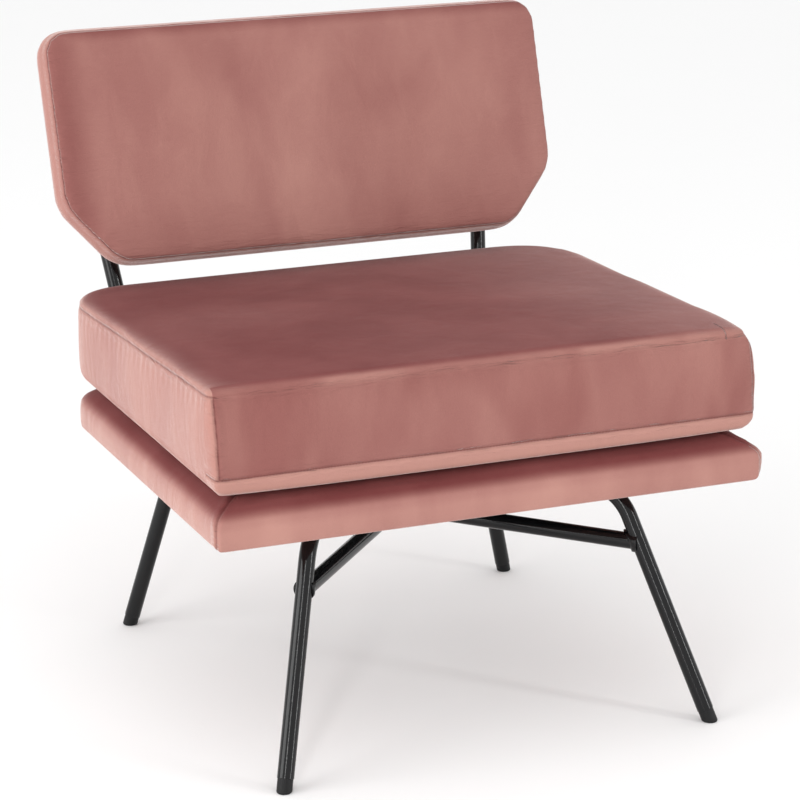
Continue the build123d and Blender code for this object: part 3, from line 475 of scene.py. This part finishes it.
def black_cambric(name):
    cloth = Finish(name)
    felt = cloth.noise(0.0016, 3.0, 0.8)
    spots = cloth.wire("ShaderNodeTexVoronoi", None, Vector=cloth.place, Scale=480.0).ease(0.25, 0.5)
    cloth.set(Base_Color=cloth.blend(0.6 * felt, (0.012, 0.012, 0.013, 1.0), (0.05, 0.05, 0.052, 1.0)))
    cloth.set(Normal=cloth.relief(felt + 0.5 * spots, 0.0008), Roughness=0.85 + 0.1 * felt)
    return cloth.material


def woven_tape(name):
    tape = Finish(name)
    x, y, z = tape.axes()
    warp = (x * (2 * math.pi / WARP_PITCH)).wave()
    weft = (z * (2 * math.pi / WEFT_PITCH)).wave()
    cloth = (warp * weft).ease(-1.0, 1.0)
    tape.set(Base_Color=tape.blend(cloth, (0.20, 0.07, 0.065, 1.0), (0.36, 0.15, 0.135, 1.0)))
    tape.set(Normal=tape.relief(cloth, 0.0005), Roughness=0.75 + 0.15 * cloth)
    return tape.material


def nylon_coil(name):
    coil = Finish(name)
    teeth = (coil.axes()[0] * (2 * math.pi / COIL_PITCH)).wave().ease(-0.5, 0.7)
    coil.set(Base_Color=coil.blend(teeth, (0.12, 0.04, 0.038, 1.0), (0.38, 0.16, 0.145, 1.0)))
    coil.set(Normal=coil.relief(teeth, 0.0009), Roughness=0.45 - 0.15 * teeth)
    return coil.material


SEAT_VELVET = velvet("seat_velvet", seat_seams, seat_shade_and_lay, seat_painted_light, 0.85)
DECK_VELVET = velvet("platform_velvet", deck_seams, deck_shade_and_lay, deck_painted_light, 1.0)
BACK_VELVET = velvet("backrest_velvet", back_seams, back_shade_and_lay, back_painted_light, 0.70)
FINISHES = {
    "frame_paint": painted_steel("black_powder_coat"),
    "weld_paint": painted_steel("coated_weld", 0.12),
    "glide_plastic": moulded_plastic("glide_plastic", (0.004, 0.004, 0.0045, 1.0)),
    "plug_plastic": moulded_plastic("plug_plastic", (0.016, 0.016, 0.017, 1.0)),
    "spacer_plastic": moulded_plastic("spacer_plastic", (0.016, 0.016, 0.017, 1.0)),
    "zinc_screws": plated("black_zinc", (0.10, 0.10, 0.11, 1.0), 0.32),
    "zinc_nuts": plated("bright_zinc", (0.62, 0.63, 0.65, 1.0), 0.28),
    "staple_wire": plated("staple_wire", (0.66, 0.66, 0.67, 1.0), 0.3),
    "plywood": plywood("raw_plywood"),
    "foam": cut_foam("cut_foam"),
    "dust_cloth": black_cambric("black_cambric"),
    "zip_tape": woven_tape("zip_tape"),
    "zip_coil": nylon_coil("zip_coil"),
    "zip_metal": plated("zip_metal", (0.50, 0.48, 0.44, 1.0), 0.3),
}
for part in frame["record"]["subparts"]:
    finish = FINISHES.get(part["material_slot"])
    if finish is not None:
        mesh = frame["nodes"][part["node"]].data
        mesh.materials.clear()
        mesh.materials.append(finish)


# ---- Shaping
def outline_face(mesh, corners, place):
    """A face with rounded corners. Each corner is across, up and radius; place maps (across, up)."""
    points = [mesh.verts.new(place(across, up)) for across, up, radius in corners]
    mesh.faces.new(points)
    for index, point in enumerate(points):
        radius = corners[index][2]
        here = point.co
        neighbours = [edge.other_vert(point).co - here for edge in point.link_edges]
        turn = neighbours[0].angle(neighbours[1])
        corners[index] = (point, radius / math.tan(turn / 2))
    for point, reach in corners:
        bmesh.ops.bevel(
            mesh,
            geom=[point],
            offset=reach,
            offset_type="OFFSET",
            affect="VERTICES",
            segments=8,
            profile=0.5,
            material=-1,
        )


def raise_face(mesh, move, face=None):
    """Extrudes the face, or the newest one, moves it and returns it."""
    mesh.faces.ensure_lookup_table()
    source = face or mesh.faces[-1]
    raised = bmesh.ops.extrude_face_region(mesh, geom=[source])["geom"]
    points = [item for item in raised if isinstance(item, bmesh.types.BMVert)]
    bmesh.ops.translate(mesh, vec=move, verts=points)
    if face:
        bmesh.ops.delete(mesh, geom=[face], context="FACES_ONLY")
    return next(item for item in raised if isinstance(item, bmesh.types.BMFace))


def bevel_edges(mesh, edges, width, segments):
    bmesh.ops.bevel(
        mesh,
        geom=edges,
        offset=width,
        affect="EDGES",
        segments=segments,
        profile=0.5,
        material=-1,
    )


def finish_object(mesh, name, material):
    bmesh.ops.recalc_face_normals(mesh, faces=mesh.faces)
    data = bpy.data.meshes.new(name)
    mesh.to_mesh(data)
    mesh.free()
    data.materials.append(material)
    piece = bpy.data.objects.new(name, data)
    SCENE.collection.objects.link(piece)
    return piece


def settle(piece):
    """Applies the piece's modifiers to its mesh."""
    bpy.context.view_layer.update()
    made = bpy.data.meshes.new_from_object(piece.evaluated_get(bpy.context.evaluated_depsgraph_get()))
    piece.modifiers.clear()
    piece.data = made
    return piece


def remeshed(piece, voxel):
    grid = piece.modifiers.new("grid", "REMESH")
    grid.mode = "VOXEL"
    grid.voxel_size = voxel
    return settle(piece)


def swell(piece, pinned, pressure, cap, frames=20):
    """Blows the piece up like stuffed cloth held at its seams. pinned gives 0 to 1 for a point."""
    rest = [v.co.copy() for v in piece.data.vertices]
    group = piece.vertex_groups.new(name="held")
    for index, point in enumerate(rest):
        group.add([index], pinned(point), "REPLACE")
    cloth = piece.modifiers.new("stuffing", "CLOTH")
    cloth.settings.quality = 4
    cloth.settings.mass = 0.3
    cloth.settings.tension_stiffness = 12
    cloth.settings.compression_stiffness = 12
    cloth.settings.shear_stiffness = 8
    cloth.settings.bending_stiffness = 1.5
    cloth.settings.use_pressure = True
    cloth.settings.uniform_pressure_force = pressure
    cloth.settings.vertex_group_mass = "held"
    cloth.settings.effector_weights.gravity = 0
    cloth.collision_settings.use_collision = False
    for step in range(1, frames + 1):
        SCENE.frame_set(step)
    settle(piece)
    SCENE.frame_set(1)
    for vertex, start in zip(piece.data.vertices, rest):
        move = vertex.co - start
        length = move.length
        if length > 1e-9:
            vertex.co = start + move * (cap * math.tanh(length / cap) / length)
    piece.vertex_groups.clear()
    return piece


def smooth_all(piece):
    for polygon in piece.data.polygons:
        polygon.use_smooth = True


def bell(distance, width):
    return math.exp(-((distance / width) ** 2))


def dress(piece, shape):
    """Moves each point by shape(point, normal), which returns a shift."""
    data = piece.data
    moves = [shape(v.co, v.normal) for v in data.vertices]
    for vertex, move in zip(data.vertices, moves):
        vertex.co += move
    data.update()


def subdivided(piece):
    finer = piece.modifiers.new("finer", "SUBSURF")
    finer.levels = 1
    finer.render_levels = 1
    return settle(piece)


# ---- Seat cushion
def seat_upper(point):
    return seat_slope(point.z, point.y)


def seat_top_at(y):
    share = (y - SEAT_FRONT_TOP) / (SEAT_BACK - SEAT_FRONT_TOP)
    return SEAT_TOP_FRONT + (SEAT_TOP_BACK - SEAT_TOP_FRONT) * share


def by_zip(point):
    level = TAPE_LOW.z - TAPE_ROOM < point.z < TAPE_HIGH.z + TAPE_ROOM
    return level and abs(point.x) < TAPE_HIGH.x + TAPE_ROOM and point.y > SEAT_BACK - TAPE_ZONE


def make_seat_cushion():
    half, front, back = SEAT_HALF, SEAT_FRONT, SEAT_BACK
    corners = [
        (-half, front, SEAT_CORNER_RADIUS),
        (half, front, SEAT_CORNER_RADIUS),
        (half, back, SEAT_REAR_RADIUS),
        (-half, back, SEAT_REAR_RADIUS),
    ]
    mesh = bmesh.new()
    low = SEAT_BOTTOM + 0.0005
    outline_face(mesh, corners, lambda x, y: (x, y, low))
    raise_face(mesh, (0, 0, SEAT_TOP_FRONT - low))
    for vertex in mesh.verts:
        if vertex.co.z > low + 0.01:
            lean = 1.0 if vertex.co.y < 0 else 0.0
            vertex.co.y += lean * (SEAT_FRONT_TOP - SEAT_FRONT) * 1.15
            vertex.co.z = seat_top_at(vertex.co.y)
    rim = [e for e in mesh.edges if all(v.co.z > low + 0.01 for v in e.verts)]
    bevel_edges(mesh, rim, SEAT_TOP_ROUND, 3)
    keel = [e for e in mesh.edges if all(v.co.z < low + 0.001 for v in e.verts) and len(e.link_faces) == 2]
    bevel_edges(mesh, keel, SEAT_KEEL_ROUND, 5)
    piece = finish_object(mesh, "seat_cushion", SEAT_VELVET)
    remeshed(piece, SEAT_VOXEL)

    def held(point):
        upper = bell(seat_upper(point), 0.008)
        edge = bell(seat_upper(point) - SEAT_SEAM_DROP, 0.010) * 0.9
        resting = 1.0 if point.z < SEAT_BOTTOM + 0.010 else 0.0
        lower = bell(point.z - SEAT_LOWER_SEAM, 0.006) if point.y < SEAT_FRONT + SEAT_FRONT_ZONE else 0.0
        return max(upper, edge, resting, lower, 1.0 if by_zip(point) else 0.0)

    swell(piece, held, 3.2, 0.009)
    subdivided(piece)

    def shape(point, normal):
        move = Vector((0, 0, 0))
        across = point.x / SEAT_HALF
        along = (point.y - (SEAT_FRONT + SEAT_BACK) / 2) / ((SEAT_BACK - SEAT_FRONT) / 2)
        height = (point.z - SEAT_BOTTOM) / (SEAT_TOP_FRONT - SEAT_BOTTOM)
        crown = max(0.0, 1 - across**6) * max(0.0, 1 - along**6)
        belly = math.sin(math.pi * min(1, max(0, height)))
        drawn_in = 1 - along**2
        upward = max(0.0, normal.z)
        move.z += SEAT_CROWN * crown * upward
        move.z += 0.0012 * math.sin(point.x * 17 + 1.3) * math.sin(point.y * 13 + 0.4) * crown * upward
        ends = math.copysign(abs(normal.x) * belly, point.x)
        out = SEAT_RIGHT_OUT if point.x > 0 else SEAT_LEFT_OUT
        move.x += ends * (out - SEAT_WAIST * drawn_in)
        move.x += ends * 0.0010 * math.sin(point.y * 31 + point.z * 40)
        if point.x > SEAT_HALF - SEAT_FRONT_ZONE:
            rolled = bell(point.y - SEAT_FRONT, 0.050) * bell(seat_upper(point) - SEAT_SEAM_DROP, 0.012)
            move.x -= 0.0080 * rolled
        if normal.y < 0:
            move.y += normal.y * belly * (0.0035 - 0.0015 * (1 - across**2))
            move.y -= normal.y * 0.0010 * math.sin(point.x * 27 + point.z * 35) * belly
            overhang = bell(point.y - SEAT_FRONT, 0.022) * bell(point.z - SEAT_BOTTOM, 0.020)
            move.z -= SEAT_OVERHANG_SAG * (1 - across**4) * overhang
        side = 1.0 - abs(normal.z)
        upper = seat_upper(point)
        groove = bell(upper, CREASE_WIDTH)
        puckers = 0.5 + 0.5 * math.sin((point.x + point.y) * 2 * math.pi / 0.017)
        lip = bell(upper - 0.006, 0.004)
        if point.y < SEAT_FRONT + SEAT_FRONT_ZONE and upper < -0.002:
            groove = max(groove, bell(point.z - SEAT_LOWER_SEAM, CREASE_WIDTH))
            if point.z > SEAT_LOWER_SEAM:
                groove = max(groove, 0.8 * bell(seat_corner(point.x), 0.0028))
        move -= normal * (0.0012 * groove * (0.8 + 0.4 * puckers)) * side
        move += normal * (0.0010 * lip) * side
        near_seam = bell(upper + 0.010, 0.010) * side
        move += normal * (0.0006 * near_seam * (puckers - 0.5))
        resting = point.y > SEAT_FRONT + SEAT_FRONT_ZONE
        if resting and point.z + move.z < SEAT_BOTTOM:
            move.z = SEAT_BOTTOM - point.z
        if by_zip(point):
            move.y = min(move.y, SEAT_BACK - TAPE_ROOM - point.y)
        return move

    dress(piece, shape)
    smooth_all(piece)
    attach(piece, "cushion")
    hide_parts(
        "cushion_foam",
        "cushion_top",
        "cushion_front",
        "cushion_left",
        "cushion_right",
        "cushion_back_lower",
        "cushion_back_upper",
        "cushion_bottom",
    )
    return piece


# ---- Padded platform under the cushion
def make_platform():
    corners = [
        (-DECK_HALF, DECK_FRONT, DECK_CORNER_RADIUS),
        (DECK_HALF, DECK_FRONT, DECK_CORNER_RADIUS),
        (DECK_HALF, DECK_BACK, DECK_REAR_RADIUS),
        (-DECK_HALF, DECK_BACK, DECK_REAR_RADIUS),
    ]
    mesh = bmesh.new()
    outline_face(mesh, corners, lambda x, y: (x * 0.998, y, DECK_BOTTOM + 0.0003))
    centre = Matrix.Translation((0, -(DECK_FRONT + DECK_BACK) / 2, 0))
    deep = (DECK_BACK - DECK_FRONT) / 2
    top = raise_face(mesh, (0, 0, DECK_EDGE_TOP - DECK_BOTTOM - 0.002))
    gone, height = 0.0, DECK_EDGE_TOP - 0.002
    for share, level in ((0.04, 0.003), (0.14, 0.007), (0.50, 0.017), (1.0, 0.023)):
        top = raise_face(mesh, (0, 0, DECK_EDGE_TOP + level - height), top)
        height = DECK_EDGE_TOP + level
        inset = DECK_SLOPE_IN * share
        ratios = ((DECK_HALF - inset) / (DECK_HALF - gone), (deep - inset) / (deep - gone), 1)
        bmesh.ops.scale(mesh, vec=ratios, space=centre, verts=top.verts)
        gone = inset
    keel = [
        e
        for e in mesh.edges
        if all(v.co.z < DECK_BOTTOM + 0.001 for v in e.verts) and len(e.link_faces) == 2
    ]
    bevel_edges(mesh, keel, DECK_KEEL_ROUND, 4)
    piece = finish_object(mesh, "padded_platform", DECK_VELVET)
    remeshed(piece, DECK_VOXEL)

    def held(point):
        low = 1.0 if point.z < DECK_BOTTOM + 0.006 else 0.0
        high = 1.0 if point.z > DECK_TOP - 0.004 else 0.0
        return max(low, high)

    swell(piece, held, 2.0, 0.003)
    subdivided(piece)

    def shape(point, normal):
        move = Vector((0, 0, 0))
        mitre = ((DECK_HALF - abs(point.x)) - (point.y - DECK_FRONT)) * 0.7071
        if point.y < DECK_FRONT + DECK_SLOPE_IN + 0.02 and normal.z > -0.3:
            out = (point.z - DECK_BOTTOM) / (DECK_TOP - DECK_BOTTOM)
            move -= normal * (0.0018 * bell(mitre, CREASE_WIDTH) * (0.3 + out))
            move += normal * (0.0009 * bell(abs(mitre) - 0.007, 0.005) * out)
        ripple = math.sin(point.x * 21 + 0.7) * math.sin(point.y * 17 + point.z * 30)
        if abs(normal.z) < 0.9:
            move += normal * 0.0008 * ripple
        if point.z + move.z > DECK_TOP:
            move.z = DECK_TOP - point.z
        if point.z + move.z < DECK_BOTTOM:
            move.z = DECK_BOTTOM - point.z
        move.x += DECK_SHIFT * abs(normal.x)
        under = DECK_SIDE_ROUND - (point.z + move.z - DECK_BOTTOM)
        if under > 0:
            limit = DECK_HALF - DECK_SIDE_ROUND + math.sqrt(max(0.0, DECK_SIDE_ROUND**2 - under**2))
            past = abs(point.x + move.x) - limit
            if past > 0:
                move.x -= math.copysign(past, point.x)
        return move

    dress(piece, shape)
    smooth_all(piece)
    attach(piece, "chair")
    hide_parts("deck_cover", "deck_foam")
    return piece


# ---- Backrest
def back_place(across, up, forward=0.0):
    return BACK_FOOT + Vector((across, 0, 0)) + BACK_FRONT_UP * up + BACK_FORWARD * forward


def back_local(point):
    away = point - BACK_FOOT
    return away.x, away.dot(BACK_FRONT_UP), away.dot(BACK_FORWARD)


def make_backrest():
    grown = [
        (across + ROUNDED_OFF / 2, up - (ROUNDED_OFF if up < BACK_CORNERS[2][1] else 0.0), radius)
        for across, up, radius in BACK_CORNERS
    ]
    right = list(grown)
    left = [(-across, up, radius) for across, up, radius in reversed(grown)]
    mesh = bmesh.new()
    rear = -BACK_DEPTH + 0.004
    outline_face(mesh, right + left, lambda across, up: back_place(across, up, rear))
    front = raise_face(mesh, BACK_FORWARD * -rear)
    for inward, rise in ((0.0015, 0.0030), (0.0035, 0.0025), (0.0070, 0.0010)):
        bmesh.ops.inset_region(mesh, faces=[front], thickness=inward, use_even_offset=True)
        bmesh.ops.translate(mesh, vec=BACK_FORWARD * rise, verts=front.verts)
    mesh.normal_update()
    rims = [
        e
        for e in mesh.edges
        if len(e.link_faces) == 2 and all(back_local(v.co)[2] < rear + 0.001 for v in e.verts)
    ]
    bevel_edges(mesh, rims, BACK_REAR_ROUND, 3)
    piece = finish_object(mesh, "backrest_pad", BACK_VELVET)
    remeshed(piece, BACK_VOXEL)

    def held(point):
        across, up, forward = back_local(point)
        front = bell(forward, 0.005)
        back = bell(forward + BACK_BOXING, 0.005)
        bolted = 1.0 if forward < -BACK_BOXING - 0.001 else 0.0
        return max(front, back, bolted)

    swell(piece, held, 3.0, 0.008)
    subdivided(piece)

    def shape(point, normal):
        across, up, forward = back_local(point)
        facing = normal.dot(BACK_FORWARD)
        centre = max(0.0, 1 - (across / 0.32) ** 4) * max(0.0, 1 - ((up - 0.1375) / 0.1375) ** 4)
        move = Vector((0, 0, 0))
        if facing > 0.5:
            ripple = math.sin(across * 19 + 0.5) * math.sin(up * 26 + 1.1)
            move += BACK_FORWARD * (BACK_CROWN * centre + 0.0008 * ripple * centre)
        if facing < -0.5:
            move -= BACK_FORWARD * BACK_REAR_CROWN * centre
        side = 1.0 - abs(facing)
        puckers = 0.5 + 0.5 * math.sin((across + up) * 2 * math.pi / 0.019)
        groove = max(bell(forward, 0.0028), bell(forward + BACK_BOXING, 0.0028))
        move -= normal * (0.0016 * groove * (0.8 + 0.4 * puckers)) * side
        move += normal * (BACK_SIDE_BELLY * bell(forward + BACK_BOXING / 2, 0.014)) * side
        return move

    dress(piece, shape)
    smooth_all(piece)
    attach(piece, "chair")
    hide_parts("back_foam", "back_wadding", "back_front_panel", "back_boxing", "back_rear_panel")
    return piece


# ---- Dust cloth stapled under the platform
def make_dust_cloth():
    low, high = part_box("dust_cloth")
    half = (high.x - low.x) / 2
    deep = (high.y - low.y) / 2
    middle = (high.y + low.y) / 2
    corner = DUST_REAR_RADIUS
    mesh = bmesh.new()
    bmesh.ops.create_grid(mesh, x_segments=72, y_segments=60, size=1.0)
    for vertex in mesh.verts:
        across, along = vertex.co.x, vertex.co.y * deep
        past = max(0.0, along - (deep - corner))
        width = half - corner + math.sqrt(max(0.0, corner**2 - past**2))
        x, y = across * width, middle + along
        sag = DUST_SAG * bell(math.hypot(x, y - middle), 0.11)
        slack = 0.0003 * math.sin(x * 95 + 1.0) * math.sin(y * 88 + 2.0)
        vertex.co = (x, y, high.z - 0.0002 - sag - abs(slack))
    bmesh.ops.solidify(mesh, geom=mesh.faces[:], thickness=DUST_THICKNESS)
    piece = finish_object(mesh, "dust_sheet", FINISHES["dust_cloth"])
    smooth_all(piece)
    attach(piece, "chair")
    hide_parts("dust_cloth")


# ---- Zip teeth: two interlocking rows of nylon coil
def make_zip_teeth():
    low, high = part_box("zip_coil")
    pitch = TOOTH_PITCH
    height = high.y - low.y
    centre = (low.z + high.z) / 2
    reach = (high.z - low.z) / 2
    mesh = bmesh.new()
    for row in (-1, 1):
        for step in range(int((high.x - low.x) / pitch)):
            x = low.x + pitch * (step + 0.5 + 0.25 * row)
            place = Matrix.Translation((x, low.y + height / 2, centre + row * reach * 0.42))
            size = Matrix.Diagonal((pitch * 0.46, height * 0.96, reach * 1.15, 1.0))
            tooth = bmesh.ops.create_cube(mesh, size=1.0, matrix=place @ size)["verts"]
            rims = {edge for vertex in tooth for edge in vertex.link_edges}
            outer = [e for e in rims if all(v.co.y > low.y + height / 2 for v in e.verts)]
            bevel_edges(mesh, outer, TOOTH_CHAMFER, 1)
    piece = finish_object(mesh, "zip_teeth", FINISHES["zip_coil"])
    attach(piece, "cushion")
    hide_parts("zip_coil")


make_dust_cloth()
make_zip_teeth()
make_seat_cushion()
make_platform()
make_backrest()


# ---- Floor, light and camera
def make_floor():
    mesh = bmesh.new()
    bmesh.ops.create_grid(mesh, x_segments=1, y_segments=1, size=FLOOR_SIZE)
    data = bpy.data.meshes.new("floor")
    mesh.to_mesh(data)
    mesh.free()
    ground = Finish("pale_floor")
    speck = ground.noise(0.4, 2.0, 0.5)
    ground.set(Base_Color=ground.blend(0.3 * speck, (0.92, 0.92, 0.92, 1.0), (0.95, 0.95, 0.95, 1.0)))
    ground.set(Roughness=0.8)
    data.materials.append(ground.material)
    piece = bpy.data.objects.new("floor", data)
    SCENE.collection.objects.link(piece)


def area_light(name, place, target, size, power, colour=(1.0, 1.0, 1.0)):
    data = bpy.data.lights.new(name, "AREA")
    data.shape = "RECTANGLE"
    data.size, data.size_y = size
    data.energy = power
    data.color = colour
    lamp = bpy.data.objects.new(name, data)
    SCENE.collection.objects.link(lamp)
    lamp.location = place
    lamp.rotation_euler = (Vector(target) - Vector(place)).to_track_quat("-Z", "Y").to_euler()


def make_camera():
    data = bpy.data.cameras.new("camera")
    data.sensor_width = CAMERA_SENSOR
    data.lens = CAMERA_LENS
    camera = bpy.data.objects.new("camera", data)
    SCENE.collection.objects.link(camera)
    camera.location = CAMERA_PLACE
    level = math.cos(CAMERA_PITCH)
    ahead = Vector((math.sin(CAMERA_YAW) * level, math.cos(CAMERA_YAW) * level, -math.sin(CAMERA_PITCH)))
    camera.rotation_euler = ahead.to_track_quat("-Z", "Y").to_euler()
    SCENE.camera = camera


make_floor()
area_light("left_wall", (-3.2, -0.4, 1.3), (0, 0, 0.35), (2.2, 2.2), 53)
area_light("left_strip", (-1.7, -2.6, 1.1), (0, 0, 0.3), (0.30, 2.2), 20)
area_light("right_strip", (2.3, -2.6, 1.1), (0, 0, 0.3), (0.30, 2.2), 25)
world = bpy.data.worlds.new("studio")
world.use_nodes = True
world.node_tree.nodes["Background"].inputs["Color"].default_value = (1.0, 1.0, 1.0, 1.0)
world.node_tree.nodes["Background"].inputs["Strength"].default_value = 1.0
SCENE.world = world
SCENE.view_settings.view_transform = "Standard"
make_camera()
